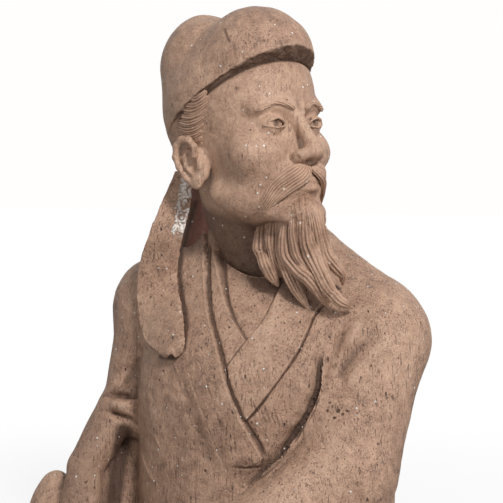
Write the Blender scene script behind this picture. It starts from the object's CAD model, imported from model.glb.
import math
from contextlib import contextmanager

import bmesh
import bpy
import numpy as np
from mathutils import Matrix, Vector, noise


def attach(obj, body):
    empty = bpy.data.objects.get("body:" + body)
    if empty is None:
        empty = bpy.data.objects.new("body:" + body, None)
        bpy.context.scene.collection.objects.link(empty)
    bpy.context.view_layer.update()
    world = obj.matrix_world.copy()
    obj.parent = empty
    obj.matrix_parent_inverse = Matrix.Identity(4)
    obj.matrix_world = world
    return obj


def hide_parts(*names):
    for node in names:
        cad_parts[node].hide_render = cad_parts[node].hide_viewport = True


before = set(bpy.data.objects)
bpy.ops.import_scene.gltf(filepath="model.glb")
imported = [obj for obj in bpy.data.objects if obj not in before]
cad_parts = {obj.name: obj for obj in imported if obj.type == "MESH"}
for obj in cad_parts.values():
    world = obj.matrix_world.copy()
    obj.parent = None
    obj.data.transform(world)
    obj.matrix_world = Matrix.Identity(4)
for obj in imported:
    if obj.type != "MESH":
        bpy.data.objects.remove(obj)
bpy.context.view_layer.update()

print("frame loaded")

# The quarter view that the figure is laid out on: counts across from its left edge and down from its top
layout = {"count": 0.0012, "axis": 265.7, "base": 554.2, "turn": 20.0, "lift": 4.0, "distance": 2.2,
          "centre": (251.5, 251.5), "picture": 503, "shift": (0.04428, 0.039042, 0.0)}

turnAngle, liftAngle = math.radians(layout["turn"]), math.radians(layout["lift"])
toRight = np.array([math.cos(turnAngle), math.sin(turnAngle), 0])
toAway = np.array([-math.sin(turnAngle) * math.cos(liftAngle), math.cos(turnAngle) * math.cos(liftAngle),
                   -math.sin(liftAngle)])
toTop = np.cross(toRight, toAway)
viewTarget = (toRight * (layout["centre"][0] - layout["axis"]) * layout["count"]
              + np.array([0, 0, (layout["base"] - layout["centre"][1]) * layout["count"]]))


def placeAt(across, down, depth=0.0):
    across, down, depth = (np.asarray(value, dtype=float) for value in (across, down, depth))
    spread = layout["count"] * (layout["distance"] + depth) / layout["distance"]
    side, rise = (across - layout["centre"][0]) * spread, (layout["centre"][1] - down) * spread
    return viewTarget + side[..., None] * toRight + rise[..., None] * toTop + depth[..., None] * toAway


def layoutOf(points):
    local = points - viewTarget
    near = layout["distance"] / (layout["distance"] + local @ toAway) / layout["count"]
    return layout["centre"][0] + local @ toRight * near, layout["centre"][1] - local @ toTop * near


def smoothStep(value):
    share = np.clip(value, 0, 1)
    return share * share * (3 - 2 * share)


def span(value, low, lowSoft, high, highSoft):
    # 1 between low and high, fading in above the one and out below the other
    return smoothStep((value - low) / lowSoft) * smoothStep((high - value) / highSoft)


def hump(gap, width, power=2):
    return np.exp(-((gap / width) ** power))


def readAlong(values, share):
    # the values, spread evenly over a run, at these shares of it
    return np.interp(share, np.linspace(0, 1, len(values)), values)


def folded(points):
    # both sides laid on the left one
    return np.column_stack([np.abs(points[:, 0]), points[:, 1:]])


# Solids that melt into one skin, as a modeller adds lumps of clay: blend is how far a joint is rounded


def ball(at, radii, blend=0.0, cut=False, both=False, lean=0.0):
    return dict(kind="ball", at=tuple(at), radii=radii, blend=blend, cut=cut, both=both, lean=lean)


def limb(start, end, startRadius, endRadius, blend=0.0, cut=False, both=False, flat=1.0):
    return dict(kind="limb", start=tuple(start), end=tuple(end), radii=(startRadius, endRadius), blend=blend,
                cut=cut, both=both, flat=flat)


def chain(spots, radii, blend=0.0, cut=False, both=False):
    return [limb(spots[step], spots[step + 1], radii[step], radii[step + 1], blend, cut, both)
            for step in range(len(spots) - 1)]


def gapToBall(points, form):
    local = points - np.array(form["at"])
    if form["lean"]:
        local = local @ np.array(Matrix.Rotation(-math.radians(form["lean"]), 3, "X")).T
    radii = np.array(form["radii"])
    near = np.linalg.norm(local / radii, axis=1)
    slope = np.linalg.norm(local / radii**2, axis=1)
    return near * (near - 1) / np.maximum(slope, 1e-9)


def gapToLimb(points, form):
    squeeze = np.array([1, 1 / form["flat"], 1])
    start = np.array(form["start"]) * squeeze
    along = np.array(form["end"]) * squeeze - start
    local = points * squeeze - start
    share = np.clip(local @ along / (along @ along), 0, 1)
    radius = form["radii"][0] + (form["radii"][1] - form["radii"][0]) * share
    return (np.linalg.norm(local - share[:, None] * along, axis=1) - radius) * min(1, form["flat"])


def gapToForms(points, forms):
    leftSide = folded(points)
    total = np.full(len(points), 1e3)
    for form in forms:
        measure = gapToBall if form["kind"] == "ball" else gapToLimb
        gap = measure(leftSide if form["both"] else points, form)
        blend = max(form["blend"], 1e-9)
        if form["cut"]:
            overlap = np.maximum(blend - np.abs(total + gap), 0)
            total = np.maximum(total, -gap) + overlap**2 / (4 * blend)
        else:
            overlap = np.maximum(blend - np.abs(total - gap), 0)
            total = np.minimum(total, gap) - overlap**2 / (4 * blend)
    return total


# Working on a mesh


def makeActive(obj):
    bpy.ops.object.select_all(action="DESELECT")
    obj.select_set(True)
    bpy.context.view_layer.objects.active = obj


def pointsOf(obj):
    flat = np.empty(len(obj.data.vertices) * 3)
    obj.data.vertices.foreach_get("co", flat)
    return flat.reshape(-1, 3)


def normalsOf(obj):
    flat = np.empty(len(obj.data.vertices) * 3)
    obj.data.vertex_normals.foreach_get("vector", flat)
    return flat.reshape(-1, 3)


def seenSkin(obj):
    # points, normals, places on the layout, and how far each point faces the camera
    points, normals = pointsOf(obj), normalsOf(obj)
    return points, normals, *layoutOf(points), smoothStep((-(normals @ toAway) - 0.05) / 0.25)


def movePoints(obj, points):
    obj.data.vertices.foreach_set("co", np.asarray(points, dtype=np.float32).ravel())
    obj.data.update()


@contextmanager
def edited(obj):
    skin = bmesh.new()
    skin.from_mesh(obj.data)
    yield skin
    skin.to_mesh(obj.data)
    skin.free()


def applied(obj, kind, **settings):
    makeActive(obj)
    step = obj.modifiers.new(kind.lower(), kind)
    for name, value in settings.items():
        setattr(step, name, value)
    bpy.ops.object.modifier_apply(modifier=step.name)
    return obj


def joined(objects, name):
    bpy.ops.object.select_all(action="DESELECT")
    for obj in objects:
        obj.select_set(True)
    bpy.context.view_layer.objects.active = objects[0]
    bpy.ops.object.transform_apply(location=True, rotation=True, scale=True)
    if len(objects) > 1:
        bpy.ops.object.join()
    objects[0].name = name
    objects[0].data.name = name
    return objects[0]


def addBall(form):
    bpy.ops.mesh.primitive_uv_sphere_add(segments=32, ring_count=18, radius=1, location=form["at"],
                                         rotation=(math.radians(form["lean"]), 0, 0))
    bpy.context.object.scale = form["radii"]
    return [bpy.context.object]


def addLimb(form):
    flat = form["flat"]
    ends = [Vector((spot[0], spot[1] / flat, spot[2])) for spot in (form["start"], form["end"])]
    along = ends[1] - ends[0]
    made = []
    for centre, radius in zip(ends, form["radii"]):
        bpy.ops.mesh.primitive_uv_sphere_add(segments=24, ring_count=14, radius=radius, location=centre)
        made.append(bpy.context.object)
    bpy.ops.mesh.primitive_cone_add(vertices=24, radius1=form["radii"][0], radius2=form["radii"][1],
                                    depth=along.length, location=(ends[0] + ends[1]) / 2,
                                    rotation=along.to_track_quat("Z", "Y").to_euler())
    made.append(bpy.context.object)
    for obj in made:
        obj.data.transform(Matrix.Diagonal((1, flat, 1, 1)) @ obj.matrix_basis)
        obj.matrix_basis = Matrix.Identity(4)
    return made


def otherSide(form):
    other = dict(form, both=False)
    for key in ("at", "start", "end"):
        if key in form:
            other[key] = (-form[key][0], form[key][1], form[key][2])
    return other


def slide(obj, forms, reach, rounds, level=0.0):
    for _ in range(rounds):
        points = pointsOf(obj)
        gap = np.clip(gapToForms(points, forms) - level, -reach, reach)
        movePoints(obj, points - normalsOf(obj) * gap[:, None])


def melted(forms, name, grain, level=0.0):
    solids = []
    for form in forms:
        if not form["cut"]:
            for one in (form, otherSide(form)) if form["both"] else (form,):
                solids += addLimb(one) if one["kind"] == "limb" else addBall(one)
    skin = applied(joined(solids, name), "REMESH", mode="VOXEL", voxel_size=grain)
    slide(skin, forms, 3 * grain, 4, level)
    applied(skin, "REMESH", mode="VOXEL", voxel_size=grain)
    slide(skin, forms, 3 * grain, 4, level)
    return skin


def refined(obj, wanted, cuts):
    # splits the faces that touch a wanted point into a finer grid
    with edited(obj) as skin:
        for face in skin.faces:
            face.tag = any(wanted[vert.index] for vert in face.verts)
        edges = [edge for edge in skin.edges if any(face.tag for face in edge.link_faces)]
        bmesh.ops.subdivide_edges(skin, edges=edges, cuts=cuts, use_grid_fill=True)


def cutOff(obj, spot, outward):
    with edited(obj) as skin:
        sliced = bmesh.ops.bisect_plane(skin, geom=skin.verts[:] + skin.edges[:] + skin.faces[:], dist=1e-6,
                                        plane_co=spot, plane_no=outward, clear_outer=True)
        rim = [item for item in sliced["geom_cut"] if isinstance(item, bmesh.types.BMEdge)]
        bmesh.ops.holes_fill(skin, edges=rim)


def carved(obj, cutter):
    return applied(obj, "BOOLEAN", operation="DIFFERENCE", solver="EXACT", object=cutter,
                   material_mode="TRANSFER")


def dropCrumbs(obj, fewest=2000):
    # deletes loose bits of fewer faces than this
    with edited(obj) as skin:
        seen = set()
        for seed in skin.faces:
            island, waiting = [], [seed]
            while waiting:
                face = waiting.pop()
                if face.index not in seen:
                    seen.add(face.index)
                    island.append(face)
                    waiting += [other for edge in face.edges for other in edge.link_faces
                                if other.index not in seen]
            for face in island:
                face.tag = len(island) < fewest
        bmesh.ops.delete(skin, geom=[face for face in skin.faces if face.tag], context="FACES")
    return obj


def wander(points, scale, seed=0.0):
    offset = Vector((seed * 7.3, seed * 3.1, seed * 5.7))
    return np.array([noise.noise(Vector(spot) * scale + offset) for spot in points])


def blurred(obj, values, rounds):
    ends = np.empty(len(obj.data.edges) * 2, dtype=np.int64)
    obj.data.edges.foreach_get("vertices", ends)
    first, second = ends.reshape(-1, 2).T
    size = len(obj.data.vertices)
    share = np.maximum(np.bincount(first, minlength=size) + np.bincount(second, minlength=size), 1)
    for _ in range(rounds):
        total = (np.bincount(first, weights=values[second], minlength=size)
                 + np.bincount(second, weights=values[first], minlength=size))
        values = 0.5 * values + 0.5 * total / share
    return values


def painted(obj, name, values):
    layer = obj.data.attributes.get(name) or obj.data.attributes.new(name, "FLOAT", "POINT")
    layer.data.foreach_set("value", np.asarray(values, dtype=np.float32))


def readPaint(obj, name):
    values = np.empty(len(obj.data.vertices), dtype=np.float32)
    obj.data.attributes[name].data.foreach_get("value", values)
    return values


def paintHollows(obj, rounds=10, depth=0.0012):
    # above zero in creases and below zero on ridges
    points = pointsOf(obj)
    soft = np.stack([blurred(obj, points[:, axis].copy(), rounds) for axis in range(3)], axis=1)
    painted(obj, "hollow", np.clip(((soft - points) * normalsOf(obj)).sum(axis=1) / depth, -1, 1))


def curveThrough(route, count):
    knots = np.array(route, dtype=float)
    at = np.linspace(0, len(knots) - 1, count)
    first = np.clip(at.astype(int), 0, len(knots) - 2)
    share = (at - first)[:, None]
    padded = np.vstack([2 * knots[0] - knots[1], knots, 2 * knots[-1] - knots[-2]])
    before, start, end, after = (padded[first + step] for step in range(4))
    return 0.5 * (2 * start + (end - before) * share + (2 * before - 5 * start + 4 * end - after) * share**2
                  + (3 * start - before - 3 * end + after) * share**3)


# The robe

robe = {"width": 0.318, "depth": 0.226, "chestHeight": 0.215, "shoulderRadius": 0.056, "collarRadius": 0.067,
        "rightElbowRadius": 0.038, "rightForearmRadius": 0.022, "leftElbowRadius": 0.058,
        "leftCuffRadius": 0.045, "lapelRise": 0.0055, "chestDrop": 0.011, "grain": 0.0028, "wall": 0.018}
rightShoulder, leftShoulder = placeAt(164, 306, 0.064), placeAt(376, 338, -0.045)


def bodyForms():
    halfWidth, halfDepth, shoulder = robe["width"] / 2, robe["depth"] / 2, robe["shoulderRadius"]
    elbow, cuff, leftElbow = robe["leftElbowRadius"], robe["leftCuffRadius"], placeAt(347, 472, -0.092)
    return [
        limb((0, 0, -0.08), (0, 0, robe["chestHeight"] - 0.03), halfWidth, halfWidth,
             flat=halfDepth / halfWidth),
        ball((0, -0.004, robe["chestHeight"]), (halfWidth - 0.002, halfDepth, 0.100), blend=0.03),
        limb(rightShoulder, leftShoulder, shoulder - 0.004, shoulder - 0.004, blend=0.04),
        limb(leftShoulder, leftElbow, shoulder + 0.003, elbow, blend=0.010),
        limb(leftElbow, placeAt(255, 534, -0.128), elbow, cuff, blend=0.008),
        limb(placeAt(340, 484, -0.086), placeAt(332, 660, -0.086), elbow, elbow, blend=0.008),
        limb(placeAt(262, 545, -0.120), placeAt(276, 660, -0.110), cuff, cuff, blend=0.012),
    ]


def robeForms():
    collar, shoulder, forearm = robe["collarRadius"], robe["shoulderRadius"], robe["rightForearmRadius"]
    return bodyForms() + [
        limb(placeAt(268, 318, 0.02), placeAt(266, 234, 0.015), collar + 0.026, collar, blend=0.03),
        limb(placeAt(228, 260, 0.035), rightShoulder, 0.042, shoulder, blend=0.03),
        limb(placeAt(308, 276, 0.01), leftShoulder, 0.044, shoulder, blend=0.03),
        limb(placeAt(322, 255, 0.01), placeAt(384, 307, -0.035), 0.026, 0.028, blend=0.020),
        limb(rightShoulder, placeAt(134, 405, 0.050), shoulder, robe["rightElbowRadius"], blend=0.012),
        limb(placeAt(118, 408, 0.045), placeAt(86, 466, 0.030), forearm + 0.004, forearm, blend=0.008),
        limb(placeAt(86, 466, 0.030), placeAt(73, 562, 0.010), forearm, forearm + 0.004, blend=0.004),
        ball(placeAt(57, 582, 0.055), (0.046, 0.046, 0.139), blend=0.010),
        ball(placeAt(112, 522, 0.085), (0.050, 0.032, 0.134), blend=0.016),
    ]


neckHole = limb(placeAt(266, 304, -0.014), placeAt(266, 168, -0.004), 0.030, 0.096)


def edgeLine(route):
    knots = curveThrough(route, 60)
    order = np.argsort(knots[:, 1])
    return knots[order, 1], knots[order, 0]


outerEdge = edgeLine([(208, 250), (207.6, 276), (208.4, 297), (210.6, 316), (214.8, 333), (221, 356),
                      (228, 385), (238, 410), (245, 424), (258, 446), (263, 458)])
innerEdge = edgeLine([(214, 250), (218.6, 272), (224, 295), (232.6, 318), (246, 341)])
bandEdge = edgeLine([(284, 281), (277, 293), (271, 306), (262, 322), (246, 341), (227, 366)])
bandHem = edgeLine([(327, 302), (320, 308), (313, 318), (307, 333), (296, 355), (277, 382), (257, 409),
                    (244, 423)])

# Edges of the lapels, in counts from the edge: the rows they run over with both fades, then height, place and
# half-width of the lip and of the groove, and strength, place and half-width of the shade
lapelEdges = {
    "outer": {"rows": (240, 12, 462, 12), "lip": (0.0004, -1.4, 1.3), "groove": (0.0024, 2.0, 1.7),
              "shade": (1.0, 2.0, 1.9)},
    "inner": {"rows": (244, 12, 344, 8), "lip": (0.0005, -1.2, 1.2), "groove": (0.0014, 2.0, 1.2),
              "shade": (0.8, 1.3, 1.2)},
    "hem": {"rows": (303, 6, 426, 8), "lip": (0.0005, -1.4, 1.3), "groove": (0.0022, 0.9, 0.9),
            "shade": (0.8, 0.8, 0.9)}}


def rightOf(edge, across, down):
    # how many counts each spot lies to the right of the edge
    downs, acrosses = edge
    level = np.clip(down, downs[0], downs[-1])
    slope = (np.interp(level + 2, downs, acrosses) - np.interp(level - 2, downs, acrosses)) / 4
    return (across - np.interp(level, downs, acrosses)) / np.sqrt(1 + slope**2)


def alongRoute(across, down, route):
    # how far each spot lies from the route, how far along it, and the route's length
    spots = np.stack([across, down], axis=1)
    knots = np.array(route, dtype=float)
    near, run, passed = np.full(len(spots), 1e3), np.zeros(len(spots)), 0.0
    for start, end in zip(knots[:-1], knots[1:]):
        leg = end - start
        share = np.clip((spots - start) @ leg / (leg @ leg), 0, 1)
        gap = np.linalg.norm(spots - start - share[:, None] * leg, axis=1)
        run = np.where(gap < near, passed + share * np.linalg.norm(leg), run)
        near = np.minimum(near, gap)
        passed += np.linalg.norm(leg)
    return near, run, passed


def gapToRoute(across, down, route):
    return alongRoute(across, down, route)[0]


def within(across, down, corners, soft):
    # 1 inside the outline of these corners, clockwise on the layout
    inside = np.full(len(across), 1e3)
    for (x, y), (nextX, nextY) in zip(corners, corners[1:] + corners[:1]):
        length = math.hypot(nextX - x, nextY - y)
        inside = np.minimum(inside, ((nextX - x) * (down - y) - (nextY - y) * (across - x)) / length)
    return smoothStep(inside / soft + 0.5)


sleeveEdge = edgeLine([(323, 340), (322, 353), (321, 367), (319, 390), (310, 413), (300, 429), (288, 446),
                       (277, 461), (257, 477), (236, 492), (214, 505)])

# Creases (below zero) and rolls (above zero) in the cloth: height, half-width in counts, route
folds = [
    (-0.0040, 7.0, [(322, 353), (321, 367), (319, 390), (310, 413), (300, 429), (288, 446), (277, 461),
                    (257, 477), (236, 492)]),
    (-0.0040, 3.6, [(346, 322), (341, 334), (336, 348), (332, 366), (326, 390)]),
    (-0.0030, 8.0, [(381, 322), (368, 338), (354, 354), (342, 368), (330, 382)]),
    (0.0042, 8.0, [(392, 330), (376, 352), (358, 372), (345, 392)]),
    (0.0030, 5.5, [(362, 318), (352, 334), (345, 350)]),
    (0.0020, 4.0, [(310, 402), (300, 421), (284, 428)]),
    (-0.0085, 3.2, [(104, 395), (118, 396), (135, 399)]),
    (-0.0080, 3.2, [(106, 410), (121, 417), (137, 424)]),
    (-0.0050, 3.4, [(141, 340), (136, 368), (134, 390), (134, 412), (137, 428)]),
    (0.0040, 6.0, [(107, 402), (120, 405), (134, 407)]),
    (-0.0050, 7.0, [(129, 362), (126, 378), (122, 390)]),
    (-0.0030, 10.0, [(246, 466), (246, 470)]),
    (-0.0020, 6.0, [(176, 372), (186, 402), (200, 438), (212, 470)]),
    (0.0020, 8.0, [(152, 400), (158, 440), (172, 480)]),
]

# Marks of the modelling tools: height, half-width in counts, route
toolMarks = [
    (-0.0007, 0.8, [(277, 342), (286, 346), (297, 352)]),
    (-0.0005, 0.8, [(279, 338), (288, 342), (298, 347)]),
    (-0.0006, 0.8, [(243, 303), (252, 296), (262, 288)]),
    (-0.0005, 0.8, [(247, 309), (255, 301), (266, 292)]),
    (-0.0005, 0.8, [(252, 315), (260, 306), (268, 298)]),
    (0.0008, 1.0, [(154, 434), (159, 446), (165, 456)]),
    (0.0008, 1.0, [(139, 447), (146, 468), (158, 490)]),
    (-0.0006, 0.9, [(232, 484), (243, 488), (257, 497)]),
    (-0.0006, 0.9, [(230, 492), (243, 497), (255, 504)]),
    (-0.0006, 0.8, [(318, 425), (322, 440), (326, 455)]),
    (-0.0005, 0.8, [(325, 424), (328, 436), (331, 447)]),
    (0.0006, 1.0, [(170, 352), (178, 374), (186, 398)]),
    (-0.0006, 0.9, [(196, 356), (203, 372), (209, 392), (218, 420), (226, 446)]),
    (-0.0005, 0.9, [(183, 352), (192, 384), (206, 424), (219, 456), (231, 478)]),
    (0.0006, 1.2, [(236, 470), (252, 464), (268, 456)]),
]
toolMarks += [(-0.0009, 0.8, [(252 + 5.2 * step, 404 + 1.2 * step), (258 + 4.8 * step, 412 + 2.2 * step),
                              (262 + 4.6 * step, 424 + 1.8 * step)]) for step in range(6)]
toolMarks += [(-0.0005, 0.7, [(193 + 3.4 * step, 426 + 2.6 * step), (200 + 3.4 * step, 437 + 2.8 * step)])
              for step in range(5)]

# Pits: across, down and half-width in counts
pitSpots = [(327, 411, 1.7), (332, 407, 1.2), (338, 411, 2.2), (342, 414, 1.8), (347, 411, 1.4),
            (334, 418, 1.9), (330, 403, 1.0), (205, 471, 1.3), (163, 371, 1.2), (159, 380, 1.0),
            (371, 366, 1.1), (378, 444, 1.6)]
tailShadow = [(199, 192), (193, 212), (187, 232), (183, 252), (182, 276), (185, 299), (188, 314), (189, 329),
              (186, 346), (176, 358), (162, 357)]
neckShadow = [(219, 233), (226, 259), (243, 272), (264, 277), (282, 284), (296, 298), (312, 306)]
elbowShade = ([(105, 394), (121, 384), (136, 386), (136, 398)],
              [(121, 385), (134, 358), (137, 358), (137, 398)])

# Shade rubbed in along a route: strength, half-width in counts, sharpness, route
shades = [
    (0.95, 3.1, 4, tailShadow),
    (1.10, 9.0, 4, [(124, 432), (118, 470), (112, 520)]),
    (0.30, 3.0, 2, [(342, 333), (337, 347), (332, 367), (325, 390)]),
    (0.12, 8.0, 2, [(366, 341), (354, 354), (342, 368)]),
    (0.42, 19.0, 2, [(94, 424), (86, 452), (76, 498)]),
    (0.55, 1.8, 2, [(105, 395), (118, 396.5), (133, 398)]),
    (0.60, 1.8, 2, [(107, 410), (121, 417), (137, 424)]),
]


def atElbow(across, down, soft):
    return np.maximum(*(within(across, down, corners, soft) for corners in elbowShade))


def ridge(gap, height, place, width):
    return height * hump(gap - place, width)


def raiseLapels(skin):
    points, normals, across, down, facing = seenSkin(skin)
    ragged = 0.7 * wander(points, 140) + 0.5 * wander(points, 420, 2)
    crisp = 1.25
    outer = rightOf(outerEdge, across, down) + ragged
    inner = rightOf(innerEdge, across, down) + ragged * 0.8
    band = rightOf(bandEdge, across, down)
    hem = rightOf(bandHem, across, down) + ragged * 0.5
    over = smoothStep(-outer / crisp) * smoothStep((outer + 62) / 40)
    strip = smoothStep(outer / crisp) * smoothStep(-inner / crisp) * smoothStep(-band / crisp)
    sash = smoothStep(outer / crisp) * smoothStep(band / crisp) * smoothStep(-hem / crisp)
    chest = smoothStep(inner / crisp) * smoothStep(-band / crisp)
    rise = robe["lapelRise"] * (over + 0.35 * strip + 0.55 * sash) * span(down, 205, 12, 474, 16)
    rise -= chest * (0.1 + 0.9 * smoothStep((335 - down) / 70)) * robe["chestDrop"]
    grime = np.zeros(len(points))
    for name, gap in (("outer", outer), ("inner", inner), ("hem", hem)):
        edge = lapelEdges[name]
        runs = span(down, *edge["rows"])
        rise += runs * (ridge(gap, *edge["lip"]) - ridge(gap, *edge["groove"]))
        grime += runs * ridge(gap, *edge["shade"])
    sleeve = rightOf(sleeveEdge, across, down) + ragged * 0.8
    sleeveRuns = span(down, 340, 50, 496, 50)
    under = np.exp(-np.maximum(-sleeve, 0) / (2.2 + 2.6 * sleeveRuns)) * smoothStep(0.5 - sleeve / 1.4)
    rise += sleeveRuns * (0.0036 * smoothStep(sleeve / 2.0 + 0.4) * np.exp(-np.maximum(sleeve, 0) / 16)
                          - 0.0050 * under)
    elbow = atElbow(across, down, 4.0)
    rise -= elbow * 0.0015
    movePoints(skin, points + normals * (rise * facing)[:, None])
    wisps = 0.75 + 0.35 * wander(points, 90, 15)
    grime += sleeveRuns * (0.85 * hump(sleeve + 0.6, 1.3) + 0.55 * under * wisps) + 0.42 * elbow
    grime += 0.14 * sleeveRuns * smoothStep(-sleeve / 3) * smoothStep((sleeve + 22) / 16)
    grime += 0.30 * smoothStep((11.5 - np.hypot(across - 246, down - 466) + 1.2 * ragged) / 2.5)
    grime += 0.85 * hump(gapToRoute(across, down, neckShadow), 9.5) * np.clip(0.9 + 0.25 * ragged, 0, 1)
    for strength, width, power, route in shades:
        grime += strength * hump(gapToRoute(across, down, route), width, power)
    return np.clip(grime * facing, 0, 1)


def pressMarks(skin, marks):
    points, normals, across, down, facing = seenSkin(skin)
    rise = np.zeros(len(points))
    for height, width, route in marks:
        gap, run, length = alongRoute(across, down, route)
        ends = min(14, 0.3 * length)
        rise += height * hump(gap, width) * smoothStep(run / ends) * smoothStep((length - run) / ends)
    movePoints(skin, points + normals * (rise * facing)[:, None])


def nearDetail(points):
    across, down = layoutOf(points)
    near = np.full(len(points), 1e3)
    for edge, top, bottom in ((outerEdge, 238, 464), (sleeveEdge, 345, 500), (innerEdge, 244, 346),
                              (bandEdge, 278, 368), (bandHem, 300, 426)):
        inside = (down > top) & (down < bottom)
        near = np.where(inside, np.minimum(near, np.abs(rightOf(edge, across, down))), near)
    fine = near < 5.5
    routes = [(route, 2.6) for height, width, route in toolMarks]
    routes += [(route, 3.5) for height, width, route in folds if width <= 5]
    for route, reach in routes:
        fine |= gapToRoute(across, down, route) < reach
    for x, y, size in pitSpots:
        fine |= np.hypot(across - x, down - y) < size + 2.5
    fine |= atElbow(across, down, 5.0) > 0.05
    return fine & ((points - viewTarget) @ toAway < 0.06)


def pressPits(skin, grime):
    points, normals, across, down, facing = seenSkin(skin)
    ragged = wander(points, 260, 12)
    share = np.zeros(len(points))
    for x, y, size in pitSpots:
        depth = (size * (1 + 0.5 * ragged) - np.hypot(across - x, down - y)) / 1.1 + 0.3
        share = np.maximum(share, smoothStep(depth))
    movePoints(skin, points - normals * (share * facing * 0.0016)[:, None])
    return np.clip(grime + share * facing, 0, 1)


def roughened(skin, height, scale, seed=0.0):
    points = pointsOf(skin)
    swell = 0.65 * wander(points, scale, seed) + 0.35 * wander(points, scale * 2.6, seed + 1)
    movePoints(skin, points + normalsOf(skin) * (swell * height)[:, None])


def makeRobe(cavity):
    forms = robeForms()
    skin = melted(forms, "robe", robe["grain"])
    refined(skin, nearDetail(pointsOf(skin)), 2)
    slide(skin, forms, 0.004, 2)
    grime = raiseLapels(skin)
    pressMarks(skin, folds)
    pressMarks(skin, toolMarks)
    grime = pressPits(skin, grime)
    roughened(skin, 0.0011, 34)
    painted(skin, "grime", grime)
    paintHollows(skin)
    hole = applied(joined(addLimb(neckHole), "neckHole"), "REMESH", mode="VOXEL", voxel_size=0.0036)
    carved(skin, hole)
    bpy.data.objects.remove(hole)
    cutOff(skin, (0, 0, 0), (0, 0, -1))
    dropCrumbs(skin)
    return carved(skin, cavity)


# The head, in its own frame: face towards -Y, in counts that are hundredths of a metre at the usual head size

head = {"height": 0.245, "width": 0.160, "depth": 0.205, "centreHeight": 0.500, "forward": 0.035,
        "side": -0.010, "turn": 63.0, "lift": 12.0, "neckRadius": 0.050, "grain": 0.0015, "rimGroove": 0.55}
headScale = np.array([head["width"] / 16.0, head["depth"] / 20.5, head["height"] / 24.5])
headMatrix = (Matrix.Translation((head["side"], -head["forward"], head["centreHeight"]))
              @ Matrix.Rotation(math.radians(head["turn"]), 4, "Z")
              @ Matrix.Rotation(math.radians(-head["lift"]), 4, "X"))


def toHead(points):
    back = np.array(headMatrix.inverted())
    return (np.atleast_2d(points) @ back[:3, :3].T + back[:3, 3]) / headScale


def fromHead(counts):
    forth = np.array(headMatrix)
    return (np.atleast_2d(counts) * headScale) @ forth[:3, :3].T + forth[:3, 3]


def placedOnHead(obj):
    movePoints(obj, fromHead(pointsOf(obj)))


def headOutward(side, back, up):
    return np.array(headMatrix.to_3x3() @ Vector((side, back, up)))


def baseFaceForms():
    count = headScale.mean()
    neckFoot = toHead((0.002, 0.038, 0.288))[0]
    return [
        ball((0, 1.6, 3.6), (7.6, 9.4, 8.7)),
        ball((0, -3.0, 4.8), (6.3, 5.8, 5.6), blend=3.0),
        ball((0, -2.4, -3.6), (6.1, 6.0, 8.0), blend=2.5),
        limb(neckFoot, (0, 3.0, -4.0), (head["neckRadius"] + 0.004) / count,
             (head["neckRadius"] - 0.003) / count, blend=1.6),
        limb((5.3, 0.3, -6.6), (2.0, -6.9, -10.4), 1.2, 1.3, blend=2.2, both=True),
        ball((0, -7.7, -10.6), (2.2, 1.6, 1.6), blend=1.6),
        ball((4.5, -5.2, -2.9), (2.5, 2.3, 2.0), blend=2.6, both=True),
        ball((0, -3.6, -14.2), (6.5, 4.6, 3.2), blend=1.8, cut=True),
        limb(toHead(placeAt(209, 176, 0.042))[0], toHead(placeAt(207, 250, 0.036))[0], 3.2, 3.6, blend=1.2),
    ]


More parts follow.
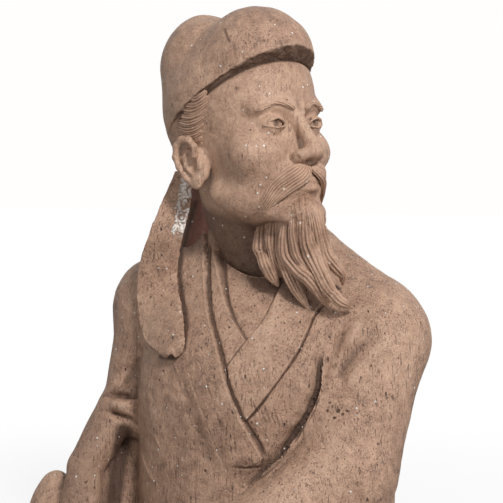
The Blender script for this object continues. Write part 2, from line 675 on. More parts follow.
def faceForms():
    forms = baseFaceForms() + [
        limb((1.0, -8.3, 1.8), (4.8, -7.0, 2.1), 0.75, 0.70, blend=1.4, both=True),
        ball((3.2, -9.3, -0.1), (2.1, 1.7, 1.3), blend=1.2, cut=True, both=True),
        limb((0, -8.5, 0.9), (0, -10.5, -3.3), 0.62, 0.85, blend=1.0),
        ball((0, -10.6, -3.8), (1.05, 0.95, 0.85), blend=0.9),
        ball((1.25, -9.45, -4.05), (0.80, 1.05, 0.72), blend=0.75, both=True),
        ball((0, -7.8, -6.8), (2.8, 1.6, 2.4), blend=1.4),
        ball((0.62, -10.15, -4.75), (0.34, 0.55, 0.30), blend=0.15, cut=True, both=True),
        ball((3.15, -7.12, -0.05), (1.50, 1.46, 1.40), blend=0.45, both=True),
        ball((3.20, -8.80, -0.06), (1.42, 0.62, 0.50), blend=0.05, cut=True, both=True),
        ball((3.15, -7.12, -0.05), (1.24, 1.24, 1.20), blend=0.04, both=True),
    ]
    forms += chain([(1.75, -8.35, -0.20), (2.45, -8.66, 0.32), (3.20, -8.68, 0.52), (3.95, -8.36, 0.34),
                    (4.62, -7.78, -0.14)], (0.13, 0.15, 0.16, 0.15, 0.12), blend=0.06, both=True)
    forms += chain([(1.80, -8.32, -0.30), (2.50, -8.52, -0.50), (3.20, -8.54, -0.58), (3.95, -8.26, -0.44),
                    (4.55, -7.84, -0.20)], (0.10, 0.12, 0.13, 0.12, 0.10), blend=0.08, both=True)
    forms += chain([(1.95, -8.55, 0.62), (2.70, -8.80, 0.92), (3.50, -8.66, 0.95), (4.40, -8.05, 0.62)],
                   (0.05, 0.08, 0.08, 0.05), blend=0.22, cut=True, both=True)
    forms += chain([(2.10, -8.55, -1.15), (3.00, -8.50, -1.45), (4.00, -8.00, -1.30)], (0.05, 0.07, 0.05),
                   blend=0.35, cut=True, both=True)
    forms += [
        ball((3.15, -8.46, -0.04), (0.50, 0.22, 0.50), blend=0.05, cut=True, both=True),
        ball((3.02, -8.34, 0.16), (0.13, 0.16, 0.13), blend=0.05, both=True),
        limb((0, -9.35, -6.85), (2.2, -8.6, -7.15), 0.42, 0.20, blend=0.35, both=True),
        limb((0, -9.30, -7.80), (1.9, -8.5, -7.50), 0.52, 0.25, blend=0.35, both=True),
        limb((0, -9.95, -7.28), (2.4, -8.85, -7.38), 0.10, 0.08, blend=0.16, cut=True, both=True),
        limb((0, -9.45, -8.95), (1.2, -9.0, -8.95), 0.28, 0.15, blend=0.9, cut=True, both=True),
    ]
    forms += chain([(1.95, -9.65, -4.3), (2.75, -9.0, -5.5), (3.55, -8.35, -6.9)], (0.10, 0.16, 0.10),
                   blend=0.65, cut=True, both=True)
    return forms


def earForms():
    forms = [ball((6.75, 1.7, -2.7), (0.95, 1.3, 2.5), blend=0.7, both=True, lean=-16),
             ball((7.15, 2.75, -2.7), (0.62, 2.00, 3.25), blend=0.5, both=True, lean=-16)]
    forms += chain([(7.75, 1.9, -2.5), (7.95, 1.0, -1.9), (8.00, 0.75, -0.7), (8.10, 1.5, 0.35),
                    (8.20, 2.8, 0.65), (8.25, 4.0, 0.0), (8.20, 4.55, -1.4), (8.00, 4.35, -2.9),
                    (7.75, 3.60, -4.4), (7.55, 2.7, -5.5)],
                   (0.24, 0.34, 0.40, 0.44, 0.46, 0.46, 0.44, 0.40, 0.36, 0.32), blend=0.30, both=True)
    forms += chain([(7.75, 2.5, -0.9), (7.85, 3.25, -1.7), (7.78, 3.15, -3.0), (7.60, 2.4, -4.1)],
                   (0.26, 0.32, 0.32, 0.28), blend=0.30, both=True)
    forms += [
        ball((7.45, 2.0, -5.4), (0.50, 0.90, 0.90), blend=0.45, both=True),
        ball((7.45, 0.95, -3.2), (0.34, 0.42, 0.60), blend=0.35, both=True),
        ball((8.05, 1.95, -2.9), (0.80, 0.80, 1.10), blend=0.25, cut=True, both=True),
    ]
    forms += chain([(8.35, 2.0, -0.35), (8.45, 3.2, -0.6), (8.40, 3.85, -1.9), (8.10, 3.6, -3.4)],
                   (0.20, 0.24, 0.24, 0.16), blend=0.18, cut=True, both=True)
    for form in forms:  # set to its size about its middle
        for key in ("at", "start", "end"):
            if key in form:
                x, y, z = form[key]
                form[key] = (x * 0.97 + 0.12, 2.3 + (y - 2.5) * 0.86, -2.5 + (z + 2.6) * 0.86)
        form["radii"] = tuple(radius * 0.88 for radius in form["radii"])
    return forms


headForms = faceForms() + earForms()
capTilt = math.radians(22.0)
rimSpot, rimOutward = np.array([0, -8.4, 7.9]), np.array([0, -math.sin(capTilt), -math.cos(capTilt)])


def belowRim(points):
    return (points - rimSpot) @ rimOutward


def inBox(points, low, high):
    return np.all((points > low) & (points < high), axis=1)


def makeHead(cavity):
    skin = melted(headForms, "head", head["grain"] / headScale.mean())
    points = folded(pointsOf(skin))
    eyes = np.linalg.norm((points - (3.2, -8.2, 0)) * (1, 0.8, 1), axis=1) < 2.3
    ears = inBox(points, (6.9, -0.6, -6.8), (99, 5.6, 1.6))
    mouth = inBox(points, (-1, -99, -9.2), (2.9, -8.0, -3.0))
    refined(skin, eyes | ears | mouth, 1)
    slide(skin, headForms, 0.25, 4)
    points = pointsOf(skin)
    share = smoothStep((np.abs(points[:, 0]) - 7.0) / 0.4) * inBox(points, (-99, -0.8, -7), (99, 6, 2))
    even = np.stack([blurred(skin, points[:, axis], 12) for axis in range(3)], axis=1)
    points = points + (even - points) * share[:, None]
    movePoints(skin, points)
    below = belowRim(points)
    groove = head["rimGroove"] * hump(below - 0.2, 0.38) * smoothStep((4.0 - points[:, 1]) / 2)
    movePoints(skin, points - normalsOf(skin) * groove[:, None])
    placedOnHead(skin)
    roughened(skin, 0.0007, 60, 3)
    paintHollows(skin, 8, 0.0009)
    iris = smoothStep((0.50 - np.hypot(np.abs(points[:, 0]) - 3.15, points[:, 2] + 0.04)) / 0.12)
    iris = iris * (points[:, 1] < -7.6) * 0.75
    rimShade = hump(below - 0.25, 0.45) * smoothStep((4.5 - points[:, 1]) / 2)
    neckShade = 0.72 * smoothStep(-(points[:, 2] + 7.5 + (2 - points[:, 1]) * 0.45) / 1.8 - 0.2)
    placed = pointsOf(skin)
    across, down = layoutOf(placed)
    besideTail = 0.95 * hump(gapToRoute(across, down, tailShadow), 3.1, 4) * smoothStep((down - 196) / 6)
    painted(skin, "grime", np.maximum(np.maximum(iris, rimShade), np.maximum(neckShade, besideTail)))
    depth = (placed - viewTarget) @ toAway
    ruddy = smoothStep(-(normalsOf(skin) @ toAway) / 0.4) * smoothStep(depth / 0.02 + 1) * (1 - besideTail)
    ruddy = ruddy * smoothStep((222 - across) / 8) * smoothStep((down - 178) / 10)
    painted(skin, "ruddy", ruddy)
    return carved(dropCrumbs(skin), cavity)


def makeCavity():
    skull = headMatrix @ Vector((0, 0.010, 0.030))
    forms = bodyForms() + [
        limb((0, 0.030, 0.270), headMatrix @ Vector((0, 0.024, -0.030)),
             head["neckRadius"] + 0.006, head["neckRadius"], blend=0.020),
        ball(skull, (head["width"] * 0.46,) * 3, blend=0.020),
    ]
    return melted(forms, "cavity", 0.010, level=-robe["wall"])


def gapToBody(points):
    onHead = gapToForms(toHead(points), baseFaceForms()) * headScale.mean()
    return np.minimum(onHead, gapToForms(np.atleast_2d(points), robeForms()))


def marched(across, down, gapTo):
    # how deep a form's front lies behind each of these spots of the layout, and nothing where it misses
    depth = np.full(len(across), -0.20)
    for _ in range(60):
        gap = gapTo(placeAt(across, down, depth))
        depth = depth + np.clip(gap, 0, 0.02) * 0.9
    return np.where(gap < 0.002, depth, np.nan)


def landed(across, down, clearance=0.0):
    across, down = (np.atleast_1d(np.asarray(side, dtype=float)) for side in (across, down))
    return marched(across, down, lambda points: gapToBody(points) - clearance)


# The cap

cap = {"grain": 0.0019, "swell": 0.0019}


def makeCap():
    forms = [
        ball((0, 0.9, 4.3), (8.2, 9.8, 9.4)),
        ball((0, -3.3, 8.1), (6.8, 6.9, 6.7), blend=1.0),
        ball((0, 4.4, 8.8), (6.8, 5.6, 7.1), blend=0.8),
        limb((-6.0, 2.0, 16.2), (6.0, 2.0, 16.2), 1.0, 1.0, blend=1.6, cut=True),
    ]
    grain = cap["grain"] / headScale.mean()
    skin = melted(forms, "cap", grain)
    cutOff(skin, rimSpot, rimOutward)
    applied(skin, "REMESH", mode="VOXEL", voxel_size=grain)
    points = pointsOf(skin)
    level = belowRim(points)
    rim = hump(level, 0.5)
    ragged = wander(points, 0.9, 5) * 0.16 + wander(points, 3.2, 6) * 0.09
    worn = rim * ragged
    movePoints(skin, points + rimOutward * worn[:, None] + normalsOf(skin) * (worn * 0.5)[:, None])
    placedOnHead(skin)
    roughened(skin, cap["swell"], 24, 8)
    paintHollows(skin, 10, 0.0012)
    points, normals, across, down, facing = seenSkin(skin)
    crack = hump(gapToRoute(across, down, [(224, 29), (226, 35), (229, 41)]), 1.2) * facing
    movePoints(skin, points - normals * (crack * 0.0014)[:, None])
    rubbed = hump(np.hypot(across - 237, (down - 34) * 1.3), 8) * facing
    painted(skin, "hollow", readPaint(skin, "hollow") - 0.6 * rubbed)
    painted(skin, "grime", np.maximum(smoothStep((level + 0.18) / 0.3), crack * 0.85))
    return skin


# The two cap tails

tails = {"thickness": 0.008, "crown": 0.0022, "lengthwise": 190, "crosswise": 26,
         "route": [(185, 172), (175, 208), (167, 232), (161, 253), (158, 276), (159, 299), (162, 318),
                   (165, 338), (171, 355)],
         "widths": (0.020, 0.034, 0.038, 0.043, 0.046, 0.050, 0.052, 0.048, 0.036),
         "farSpine": [(-0.058, 0.028, 0.480), (-0.064, 0.058, 0.410), (-0.076, 0.078, 0.345),
                      (-0.082, 0.092, 0.275), (-0.084, 0.096, 0.200)],
         "farWidths": (0.030, 0.040, 0.046, 0.050, 0.030)}


def bandAlong(name, spine, widths, coarser, ending, least):
    # a flat grid, its middle line, how far aside each point belongs in shares and in metres
    rows, columns = tails["lengthwise"] // coarser, tails["crosswise"] // coarser
    bpy.ops.object.select_all(action="DESELECT")
    bpy.ops.mesh.primitive_grid_add(x_subdivisions=columns, y_subdivisions=rows, size=1)
    band = bpy.context.object
    band.name = band.data.name = name
    points = pointsOf(band)
    run, side = np.clip(points[:, 1] + 0.5, 0, 1), points[:, 0] * 2
    middle = np.stack([readAlong(line, run) for line in curveThrough(spine, rows + 1).T], axis=1)
    rounding = np.sqrt(np.clip(1 - np.clip((run - (1 - ending)) / ending, 0, 1) ** 2, least, 1))
    return band, middle, side, side * (readAlong(widths, run) * rounding) / 2


def thickened(band, seed):
    applied(band, "SOLIDIFY", thickness=tails["thickness"], offset=0)
    applied(band, "BEVEL", width=0.0016, segments=2, limit_method="ANGLE", angle_limit=math.radians(50))
    roughened(band, 0.0011, 60, seed)
    painted(band, "hollow", np.zeros(len(band.data.vertices)))


def makeTail():
    knots = np.array(tails["route"], dtype=float)
    depths = np.interp(np.arange(len(knots)), (0, 2, 4, 5, 8), (-0.012, -0.030, -0.010, 0.0, 0.010))
    spine = placeAt(knots[:, 0], knots[:, 1], depths)
    band, at, side, aside = bandAlong("frontTail", spine, tails["widths"], 1, 0.08, 0.05)
    at = at + toRight * aside[:, None]
    frayed = np.sign(side) * np.abs(side) ** 6 * (wander(at, 130, 4) * 0.0012 + wander(at, 420, 4) * 0.0005)
    at = at + toRight * frayed[:, None]
    across, down = layoutOf(at)
    free = (at - viewTarget) @ toAway
    surface = landed(across, down, tails["thickness"])
    lies = (down > 236) & ~np.isnan(surface)
    depth = np.where(lies, np.minimum(surface, free), free)
    depth = blurred(band, depth, 12) - tails["crown"] * (1 - side**2)
    movePoints(band, placeAt(across, down, depth))
    thickened(band, 9)
    across, down = layoutOf(pointsOf(band))
    edge = smoothStep(((normalsOf(band) @ toRight) - 0.35) / 0.4)
    painted(band, "grime", edge * 0.75)
    glaze = span(down, 172, 8, 252, 26) * smoothStep((across - (174 - (down - 185) * 0.19)) / 9)
    painted(band, "glaze", glaze * (1 - edge))
    return band


def makeFarTail():
    band, at, side, aside = bandAlong("farTail", tails["farSpine"], tails["farWidths"], 2, 0.1, 0.12)
    sideways, outward = np.array([0.8, 0.45, 0.0]), np.array([-0.45, 0.8, 0.15])
    movePoints(band, at + sideways * aside[:, None] + outward * (tails["crown"] * (1 - side**2))[:, None])
    thickened(band, 10)
    return band


# Hair: every lock is a tapered rod whose section has a ridge for each strand

hair = {"lockRadius": 0.0095, "rings": 44, "sectors": 40}


def strandLock(name, route, radii, strands, groove, flat, drift, start, towards=-toAway):
    rings, sectors = hair["rings"], hair["sectors"]
    spine = curveThrough(route, rings)
    run = np.linspace(0, 1, rings)
    radius = readAlong(radii, run)
    along = np.gradient(spine, axis=0)
    along /= np.linalg.norm(along, axis=1)[:, None]
    wide = np.cross(along, np.broadcast_to(towards, along.shape))
    wide /= np.linalg.norm(wide, axis=1)[:, None]
    front = np.cross(wide, along)
    angles = np.linspace(0, 2 * math.pi, sectors, endpoint=False)
    phase = angles[None, :] * strands + start + drift * run[:, None] * 2 * math.pi
    ridges = 1 - groove + groove * np.abs(np.sin(phase / 2)) ** 0.8
    reach = radius[:, None] * ridges
    spots = (spine[:, None, :] + (reach * np.cos(angles))[:, :, None] * wide[:, None, :]
             + (reach * flat * np.sin(angles))[:, :, None] * front[:, None, :])
    verts = np.vstack([spots.reshape(-1, 3), spine[:1], spine[-1:] + along[-1:] * radius[-1] * 0.6])
    after = [(step + 1) % sectors for step in range(sectors)]
    faces = [(low + step, low + after[step], low + sectors + after[step], low + sectors + step)
             for low in range(0, (rings - 1) * sectors, sectors) for step in range(sectors)]
    last = rings * sectors
    faces += [(last, after[step], step) for step in range(sectors)]
    faces += [(last + 1, last - sectors + step, last - sectors + after[step]) for step in range(sectors)]
    shape = bpy.data.meshes.new(name)
    shape.from_pydata(verts.tolist(), [], faces)
    lock = bpy.data.objects.new(name, shape)
    bpy.context.scene.collection.objects.link(lock)
    with edited(lock) as skin:
        bmesh.ops.recalc_face_normals(skin, faces=skin.faces)
    between = 1 - ((ridges - (1 - groove)) / groove).ravel()
    painted(lock, "hollow", np.clip(np.append(between * 1.5 - 0.5, (0, 0)), -0.5, 1))
    return lock


# Locks of the beard: thickness at root and middle, strands, how far they stand off, route on the layout
beardLocks = [
    (1.30, 1.00, 9, 0.002, [(264, 218), (262, 245), (266, 262), (272, 275), (278, 286)]),
    (0.80, 0.60, 6, 0.004, [(273, 216), (271, 244), (274, 261), (281, 277)]),
    (1.05, 0.85, 8, -0.006, [(281, 232), (284, 258), (289, 274), (298, 292), (310, 311)]),
    (0.60, 0.50, 5, 0.000, [(278, 228), (279, 254), (286, 272), (294, 284)]),
    (1.05, 0.92, 7, 0.006, [(288, 210), (285, 236), (287, 256), (298, 270), (309, 278), (317, 288), (323, 299),
                            (328, 306)]),
    (0.60, 0.55, 5, 0.009, [(293, 206), (292, 236), (297, 258), (309, 272), (320, 288), (329, 302)]),
    (0.70, 0.60, 6, -0.006, [(300, 208), (301, 240), (308, 262), (320, 284)]),
    (1.20, 0.95, 9, 0.007, [(305, 205), (307, 240), (314, 259), (321, 274), (327, 287), (335, 297),
                            (348, 308)]),
    (0.80, 0.70, 6, 0.006, [(311, 208), (316, 240), (321, 260), (327, 278), (337, 294)]),
    (0.95, 0.80, 7, 0.004, [(317, 207), (322, 238), (327, 256), (335, 266), (342, 274), (343, 285)]),
    (0.85, 0.80, 7, 0.003, [(322, 276), (329, 290), (339, 301), (352, 308)]),
    (0.55, 0.45, 5, 0.006, [(308, 207), (312, 240), (318, 262), (330, 284)]),
]


def beardBodyForms():
    chin = landed((298, 302, 306, 313), (201, 208, 216, 206))
    chin = np.where(np.isnan(chin), -0.095, chin)
    return [
        limb(placeAt(299, 201, chin[0] + 0.010), placeAt(303, 214, chin[1] + 0.011), 0.010, 0.018),
        limb(placeAt(311, 204, chin[3] + 0.009), placeAt(314, 220, chin[2] + 0.012), 0.007, 0.012, blend=0.008),
        limb(placeAt(303, 214, chin[1] + 0.011), placeAt(300, 246, -0.086), 0.018, 0.021, blend=0.010),
        limb(placeAt(286, 212, chin[0] + 0.022), placeAt(281, 248, -0.072), 0.012, 0.014, blend=0.010),
        limb(placeAt(272, 216, chin[0] + 0.038), placeAt(267, 246, -0.058), 0.008, 0.010, blend=0.008),
        limb(placeAt(314, 218, chin[2] + 0.012), placeAt(315, 248, -0.092), 0.012, 0.010, blend=0.008),
        limb(placeAt(300, 246, -0.086), placeAt(307, 268, -0.094), 0.020, 0.006, blend=0.008),
    ]


def makeBeardBody(forms):
    # the thick upper part that the locks lie on, combed downwards
    body = melted(forms, "beardBody", 0.0014)
    points, normals = pointsOf(body), normalsOf(body)
    across, down = layoutOf(points)
    flow = across - 0.010 * np.clip(down - 236, 0, 60) ** 2 + 1.6 * np.sin(down / 13.0)
    flow = flow + 2.2 * wander(points, 45, 7)
    coarse = np.abs(np.sin(flow * math.pi / 6.1)) ** 0.7
    fine = np.abs(np.sin(flow * math.pi / 2.7 + 0.6)) ** 0.8
    comb = 0.45 * coarse + 0.55 * fine
    movePoints(body, points + normals * ((comb - 0.8) * 0.0022)[:, None])
    painted(body, "hollow", np.clip((0.75 - comb) * 1.5, -0.4, 1))
    return body


def makeBeard():
    forms = beardBodyForms()
    locks = [makeBeardBody(forms)]
    for number, (root, middle, strands, stand, route) in enumerate(beardLocks):
        share = np.linspace(0, 1, 12)
        across, down = (readAlong(line, share) for line in np.array(route, dtype=float).T)
        tip = landed(across[-1], down[-1], 0.004)[0]
        tip = -0.11 if np.isnan(tip) else tip
        foot = -0.094 + max(0, 288 - across[0]) * 0.0013
        depth = foot + (tip - foot) * share**1.4 - 0.014 * np.sin(3.1 * share) - stand * smoothStep(share * 3)
        front = marched(across, down, lambda points: gapToForms(points, forms))
        resting = np.where(np.isnan(front), depth, front - 0.0005 - stand * 0.35)
        depth = np.where(np.isnan(front), depth, np.minimum(resting, np.maximum(depth, resting - 0.004)))
        depth = depth + 0.006 * (1 - smoothStep(share * 8))
        depth = np.convolve(np.pad(depth, 1, mode="edge"), (0.25, 0.5, 0.25), mode="valid")
        radii = [hair["lockRadius"] * value
                 for value in (root * 0.35, root * 0.8, root, middle, middle, middle * 0.9, middle * 0.6, 0.16)]
        locks.append(strandLock("lock", placeAt(across, down, depth), radii, strands + 2, 0.30, 0.8,
                                0.35 * (-1) ** number, number * 1.7))
    return joined(locks, "beard")


def onFace(spots, lift):
    # the point of the face straight behind each spot (across, up) of the head, lifted off it
    spots = np.array(spots, dtype=float)
    points = np.stack([spots[:, 0], np.full(len(spots), -14.0), spots[:, 1]], axis=1)
    for _ in range(50):
        points[:, 1] += 0.8 * np.clip(gapToForms(points, headForms), 0, 1.5)
    return points - np.array([0, 1, 0]) * np.broadcast_to(np.asarray(lift, dtype=float), len(spots))[:, None]


# Knots of the moustache's strands: how far out, how much more by the last strand, how high, how much lower
moustacheKnots = [(0.10, 1.15, -5.15, 0.30), (1.35, 1.15, -5.65, 1.10), (2.75, 1.05, -6.85, 0.95),
                  (3.75, 0.75, -8.35, 0.55), (4.15, 0.60, -9.65, 0.25)]


def makeMoustache():
    locks = []
    for side in (-1, 1):
        for step in range(9):
            share = step / 8
            knots = [(out + wider * share, high - lower * (1 - share))
                     for out, wider, high, lower in moustacheKnots]
            route = fromHead(onFace(knots, (0.28, 0.55, 0.50, 0.35, 0.10)) * np.array([side, 1, 1]))
            radii = (0.0030, 0.0048, 0.0046, 0.0036, 0.0022, 0.0007)
            locks.append(strandLock("lock", route, radii, 6, 0.34, 0.85, 0.25 * side, step * 2.1,
                                    headOutward(side * 0.45, -1, 0.1)))
    return joined(locks, "moustache")


def makeBrows():
    locks = []
    for side in (-1, 1):
        for step in range(11):
            share = step / 10
            foot = np.array([0.85 + 3.55 * share, 1.45 + 0.75 * math.sin(2.7 * share)])
            tip = foot + np.array([0.95 - 0.10 * share, 0.55 - 0.75 * share])
            spots = [foot, (foot + tip) / 2 + np.array([0, 0.08]), tip]
            route = fromHead(onFace(spots, (0.05, 0.16, 0.06)) * np.array([side, 1, 1]))
            locks.append(strandLock("lock", route, (0.0020, 0.0036, 0.0032, 0.0008), 6, 0.34, 0.8, 0.2,
                                    step * 1.3, headOutward(side * 0.3, -1, 0.2)))
    return joined(locks, "brows")


# Rows of hair over the ear: the back and front end of each
templeRows = [((192, 99), (206, 91)), ((188, 105), (208, 97)), ((186, 111), (207, 103)),
              ((184, 117), (206, 110)), ((182, 122), (204, 117)), ((181, 128), (203, 124)),
              ((180, 134), (202, 131)), ((184, 140), (202, 137)), ((188, 146), (202, 143)),
              ((193, 152), (202, 149)), ((196, 157), (201, 154))]


def makeTempleHair():
    locks = []
    for number, (back, front) in enumerate(np.array(templeRows, dtype=float)):
        knots = [back, back * 0.65 + front * 0.35 + (0, 3.2), back * 0.3 + front * 0.7 + (0, 2.6), front]
        across, down = np.array(knots).T
        depth = landed(across, down)
        depth = np.where(np.isnan(depth), np.nanmax(depth), depth) + np.array([0.001, -0.001, -0.001, 0.001])
        near = placeAt(across, down, depth)
        other = fromHead(toHead(near) * np.array([-1, 1, 1]))
        for route, side in ((near, -1), (other, 1)):
            locks.append(strandLock("lock", route, (0.0042, 0.0048, 0.0044, 0.0026), 7, 0.40, 1.0, 0.15,
                                    number * 1.9, headOutward(side, -0.3, 0)))
    return joined(locks, "templeHair")


# Finishes


def addNode(tree, kind, inputs=None, **settings):
    made = tree.nodes.new(kind)
    for key, value in settings.items():
        setattr(made, key, value)
    for key, value in (inputs or {}).items():
        if isinstance(value, bpy.types.NodeSocket):
            tree.links.new(value, made.inputs[key])
        else:
            made.inputs[key].default_value = value
    return made


def calc(tree, operation, first, second=0.0, clamp=False):
    return addNode(tree, "ShaderNodeMath", {0: first, 1: second}, operation=operation,
                   use_clamp=clamp).outputs[0]


def ranged(tree, value, low, high, toLow=0.0, toHigh=1.0, kind="SMOOTHSTEP"):
    limits = {"Value": value, "From Min": low, "From Max": high, "To Min": toLow, "To Max": toHigh}
    return addNode(tree, "ShaderNodeMapRange", limits, interpolation_type=kind).outputs[0]


def blendColour(tree, share, first, second):
    return addNode(tree, "ShaderNodeMix", {0: share, 6: first, 7: second}, data_type="RGBA").outputs[2]


def times(tree, first, second):
    return calc(tree, "MULTIPLY", first, second)


def summed(tree, parts):
    total = 0.0
    for value, weight in parts:
        total = calc(tree, "ADD", total, times(tree, value, weight))
    return total


def noiseOf(tree, vector, scale, detail, roughness=0.5, distortion=0.0):
    return addNode(tree, "ShaderNodeTexNoise", {"Vector": vector, "Scale": scale, "Detail": detail,
                                                "Roughness": roughness, "Distortion": distortion}).outputs[0]


def stretched(tree, vector, turn, scale):
    return addNode(tree, "ShaderNodeMapping", {"Vector": vector, "Rotation": turn, "Scale": scale}).outputs[0]


def readPoint(tree, name):
    return addNode(tree, "ShaderNodeAttribute", attribute_name=name).outputs["Fac"]


def speckle(tree, vector, scale, chance, smallest, largest):
    # scattered round spots: 1 at their middle
    cells = addNode(tree, "ShaderNodeTexVoronoi", {"Vector": vector, "Scale": scale})
    parts = addNode(tree, "ShaderNodeSeparateColor", {0: cells.outputs["Color"]})
    chosen = calc(tree, "GREATER_THAN", parts.outputs[0], 1 - chance)
    size = ranged(tree, parts.outputs[1], 0, 1, smallest, largest, "LINEAR")
    near = calc(tree, "SUBTRACT", 1.0, calc(tree, "DIVIDE", cells.outputs["Distance"], size), clamp=True)
    return times(tree, chosen, ranged(tree, near, 0, 0.45))


def makeClayWork():
    tree = bpy.data.node_groups.new("clayWork", "ShaderNodeTree")
    tones = (("Pale", (0.54, 0.352, 0.248, 1)), ("Mid", (0.40, 0.241, 0.164, 1)),
             ("Deep", (0.085, 0.046, 0.030, 1)))
    amounts = (("Hollow", 0.0), ("Grime", 0.0), ("Strokes", 1.0), ("Pits", 1.0), ("Specks", 1.0))
    tree.interface.new_socket(name="Vector", in_out="INPUT", socket_type="NodeSocketVector")
    for values, kind in ((tones, "NodeSocketColor"), (amounts, "NodeSocketFloat")):
        for name, value in values:
            tree.interface.new_socket(name=name, in_out="INPUT", socket_type=kind).default_value = value
    for name, kind in (("Colour", "NodeSocketColor"), ("Roughness", "NodeSocketFloat"),
                       ("Height", "NodeSocketFloat")):
        tree.interface.new_socket(name=name, in_out="OUTPUT", socket_type=kind)
    given = tree.nodes.new("NodeGroupInput").outputs
    where = given["Vector"]
    broad, mottle = noiseOf(tree, where, 11.0, 3.0), noiseOf(tree, where, 75.0, 5.0, 0.62)
    grain, dabs = noiseOf(tree, where, 480.0, 3.0, 0.7), noiseOf(tree, where, 42.0, 1.5, distortion=0.6)
    # tool strokes in three directions, each in its own patches
    strokes = [noiseOf(tree, stretched(tree, where, turn, scale), 1.0, 3.0, distortion=0.7)
               for turn, scale in (((0.25, 0.15, 0.5), (620, 620, 34)), ((0.8, -0.5, 0.4), (560, 560, 40)),
                                   ((-0.5, 0.7, 0.2), (640, 640, 30)))]
    patch, raking = noiseOf(tree, where, 17.0, 1.0), strokes[0]
    for low, high, stroke in ((0.42, 0.50, strokes[1]), (0.55, 0.62, strokes[2])):
        share = ranged(tree, patch, low, high)
        raking = addNode(tree, "ShaderNodeMix", {0: share, 2: raking, 3: stroke}).outputs[0]
    scratches = times(tree, ranged(tree, raking, 0.585, 0.70), given["Strokes"])
    burrs = times(tree, ranged(tree, raking, 0.36, 0.27), given["Strokes"])
    oblong = stretched(tree, where, (0.3, 0.2, 0.1), (1, 1, 0.38))
    pits = times(tree, speckle(tree, oblong, 165.0, 0.24, 0.08, 0.22), given["Pits"])
    specks = times(tree, speckle(tree, where, 105.0, 0.46, 0.07, 0.185), given["Specks"])
    tone = summed(tree, ((broad, 0.30), (mottle, 0.34), (grain, 0.36)))
    colour = given["Mid"]
    for share, tint in ((ranged(tree, tone, 0.46, 0.60), given["Pale"]),
                        (times(tree, ranged(tree, tone, 0.49, 0.38), 0.55), given["Deep"]),
                        (times(tree, scratches, 0.44), given["Deep"]),
                        (times(tree, burrs, 0.45), given["Pale"]),
                        (ranged(tree, given["Hollow"], -0.06, -0.7, 0, 0.55), given["Pale"]),
                        (ranged(tree, given["Hollow"], 0.06, 0.9, 0, 0.8), given["Deep"]),
                        (times(tree, given["Grime"], 0.95), given["Deep"]),
                        (times(tree, pits, 0.85), (0.045, 0.026, 0.018, 1)),
                        (specks, (0.93, 0.87, 0.80, 1))):
        colour = blendColour(tree, share, colour, tint)
    rough = calc(tree, "ADD", ranged(tree, mottle, 0.3, 0.7, 0.44, 0.66), times(tree, given["Grime"], 0.2))
    height = summed(tree, ((dabs, 0.9), (mottle, 0.45), (grain, 0.34), (scratches, -0.36), (burrs, 0.24),
                           (pits, -0.55), (specks, 0.2)))
    addNode(tree, "NodeGroupOutput", {"Colour": colour, "Roughness": rough, "Height": height})
    return tree


clayWork = makeClayWork()


def startFinish(name):
    finish = bpy.data.materials.new(name)
    finish.use_nodes = True
    tree = finish.node_tree
    return finish, tree, tree.nodes.new("ShaderNodeTexCoord").outputs["Object"]


def setSurface(tree, colour, rough, height, bump):
    tilt = addNode(tree, "ShaderNodeBump", {"Strength": 1.0, "Distance": bump, "Height": height}).outputs[0]
    for key, value in (("Base Color", colour), ("Roughness", rough), ("Normal", tilt)):
        tree.links.new(value, tree.nodes["Principled BSDF"].inputs[key])


def clayFinish(name, values, bump=0.0040, glazed=False, ruddy=False):
    finish, tree, where = startFinish(name)
    work = tree.nodes.new("ShaderNodeGroup")
    work.node_tree = clayWork
    for key, source in (("Vector", where), ("Hollow", readPoint(tree, "hollow")),
                        ("Grime", readPoint(tree, "grime"))):
        tree.links.new(source, work.inputs[key])
    for key, value in values.items():
        work.inputs[key].default_value = value
    colour, rough, height = (work.outputs[key] for key in ("Colour", "Roughness", "Height"))
    if glazed:
        islands = noiseOf(tree, where, 130.0, 5.0, distortion=1.4)
        streaks = noiseOf(tree, where, 420.0, 3.0)
        shine = calc(tree, "ADD", times(tree, readPoint(tree, "glaze"), 0.42), islands)
        shine = ranged(tree, shine, 0.80, 0.90)
        streaky = ranged(tree, streaks, 0.38, 0.60)
        white = blendColour(tree, streaky, (0.66, 0.54, 0.46, 1), (0.97, 0.93, 0.89, 1))
        colour = blendColour(tree, times(tree, shine, 0.9), colour, white)
        rough = calc(tree, "SUBTRACT", rough, times(tree, shine, 0.3), clamp=True)
        height = calc(tree, "ADD", height, times(tree, shine, 0.35))
    if ruddy:
        colour = blendColour(tree, times(tree, readPoint(tree, "ruddy"), 0.9), colour, (0.27, 0.125, 0.092, 1))
    setSurface(tree, colour, rough, height, bump)
    tree.nodes["Principled BSDF"].inputs["Specular IOR Level"].default_value = 0.42
    return finish


def laminateFinish():
    # the bare glass-fibre inside of the casting: chopped strands under brown resin
    finish, tree, where = startFinish("bareLaminate")
    total = 0.0
    for turn in ((0.2, 0.4, 0.3), (1.3, 0.2, 0.9), (0.7, 1.2, 0.1)):
        strand = noiseOf(tree, stretched(tree, where, turn, (420, 420, 24)), 1.0, 1.0)
        total = calc(tree, "MAXIMUM", total, ranged(tree, strand, 0.55, 0.68))
    colour = blendColour(tree, total, (0.26, 0.19, 0.13, 1), (0.46, 0.38, 0.28, 1))
    setSurface(tree, colour, ranged(tree, total, 0, 1, 0.32, 0.5), total, 0.0008)
    return finish


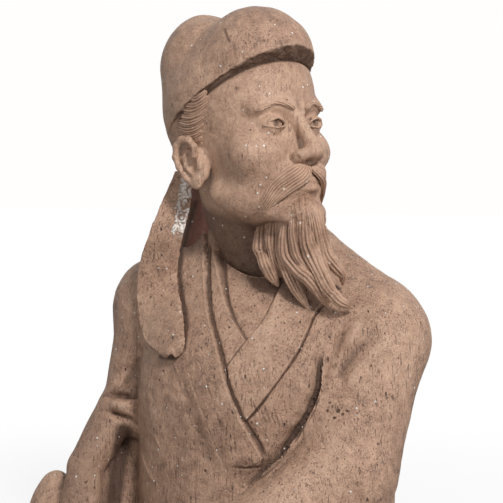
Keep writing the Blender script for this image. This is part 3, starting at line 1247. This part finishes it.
finishes = {
    "robe": clayFinish("clayRobe", {}),
    "cap": clayFinish("clayCap", {"Mid": (0.385, 0.231, 0.157, 1), "Strokes": 0.7, "Pits": 0.8}),
    "head": clayFinish("clayHead", {"Strokes": 0.7, "Pits": 0.8, "Specks": 0.9}, 0.0026, ruddy=True),
    "hair": clayFinish("clayHair", {"Strokes": 0.5, "Pits": 0.3, "Specks": 0.6,
                                    "Deep": (0.115, 0.064, 0.042, 1)}, 0.0012),
    "tail": clayFinish("clayTail", {"Pits": 1.3}, glazed=True),
}

# Putting the figure together


def finished(obj, finish):
    if not obj.data.materials:
        obj.data.materials.append(finish)
    obj.data.materials[0] = finish
    obj.data.transform(Matrix.Translation(layout["shift"]))
    makeActive(obj)
    bpy.ops.object.shade_smooth_by_angle(angle=math.radians(60))
    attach(obj, "root")
    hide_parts("statue")
    print(obj.name, "done,", sum(len(face.vertices) - 2 for face in obj.data.polygons), "triangles")


cavity = makeCavity()
cavity.data.materials.append(laminateFinish())
print("cavity ready")
finished(makeRobe(cavity), finishes["robe"])
finished(makeHead(cavity), finishes["head"])
bpy.data.objects.remove(cavity)
finished(makeCap(), finishes["cap"])
finished(makeTail(), finishes["tail"])
finished(makeFarTail(), finishes["tail"])
for makeHair in (makeBeard, makeMoustache, makeBrows, makeTempleHair):
    finished(makeHair(), finishes["hair"])

# Studio

# Spot, power and size of each lamp, the spot they all face, and the strength of the world on the statue
studio = {"world": 0.20, "aim": (0.04, 0.04, 0.36),
          "lamps": {"keyLight": ((2.3, -2.4, 2.9), 136.0, 0.7), "fillLight": ((0.1, -2.8, 0.5), 17.0, 1.6),
                    "topLight": ((0.2, 0.6, 2.6), 3.0, 1.4), "rimLight": ((2.4, 0.5, 0.9), 12.0, 1.0)}}

for name, (spot, power, size) in studio["lamps"].items():
    lamp = bpy.data.lights.new(name, "AREA")
    lamp.energy, lamp.size = power, size
    obj = bpy.data.objects.new(name, lamp)
    bpy.context.scene.collection.objects.link(obj)
    obj.location = spot
    obj.rotation_euler = (Vector(studio["aim"]) - Vector(spot)).to_track_quat("-Z", "Y").to_euler()

world = bpy.data.worlds.new("studioWorld")
bpy.context.scene.world = world
world.use_nodes = True
tree = world.node_tree
rays = tree.nodes.new("ShaderNodeLightPath").outputs
seen = calc(tree, "MAXIMUM", calc(tree, "MAXIMUM", rays["Is Camera Ray"], rays["Is Glossy Ray"]),
            rays["Is Transmission Ray"])
strength = ranged(tree, seen, 0, 1, studio["world"], 1.0, "LINEAR")
tree.links.new(strength, tree.nodes["Background"].inputs["Strength"])
tree.nodes["Background"].inputs["Color"].default_value = (1, 0.99, 0.985, 1)

bpy.ops.object.select_all(action="DESELECT")
bpy.ops.mesh.primitive_plane_add(size=16, location=(0, 0, 0))
floor = bpy.context.object
floor.name = "floor"
paper, tree, where = startFinish("paleFloor")
surface = tree.nodes["Principled BSDF"]
surface.inputs["Roughness"].default_value = 0.9
seenByCamera = tree.nodes.new("ShaderNodeLightPath").outputs["Is Camera Ray"]
paperTone = blendColour(tree, seenByCamera, (0.40, 0.39, 0.385, 1), (0.95, 0.95, 0.95, 1))
tree.links.new(paperTone, surface.inputs["Base Color"])
glow = addNode(tree, "ShaderNodeEmission", {"Color": (1, 1, 1, 1), "Strength": 1.0})
spread = addNode(tree, "ShaderNodeVectorMath", {0: where}, operation="LENGTH").outputs["Value"]
share = times(tree, seenByCamera, ranged(tree, spread, 0.25, 1.1, 0.82, 1.0))
both = addNode(tree, "ShaderNodeMixShader", {0: share, 1: surface.outputs[0], 2: glow.outputs[0]})
tree.links.new(both.outputs[0], tree.nodes["Material Output"].inputs["Surface"])
floor.data.materials.append(paper)

# Camera, square to the layout
lens = bpy.data.cameras.new("camera")
camera = bpy.data.objects.new("camera", lens)
bpy.context.scene.collection.objects.link(camera)
aim = Vector(viewTarget) + Vector(layout["shift"])
camera.location = aim - Vector(toAway) * layout["distance"]
camera.rotation_euler = Vector(toAway).to_track_quat("-Z", "Y").to_euler()
lens.sensor_fit = "HORIZONTAL"
lens.sensor_width = 36
lens.lens = lens.sensor_width / (layout["picture"] * layout["count"]) * layout["distance"]
bpy.context.scene.camera = camera
bpy.context.scene.view_settings.view_transform = "Standard"

print("scene ready")
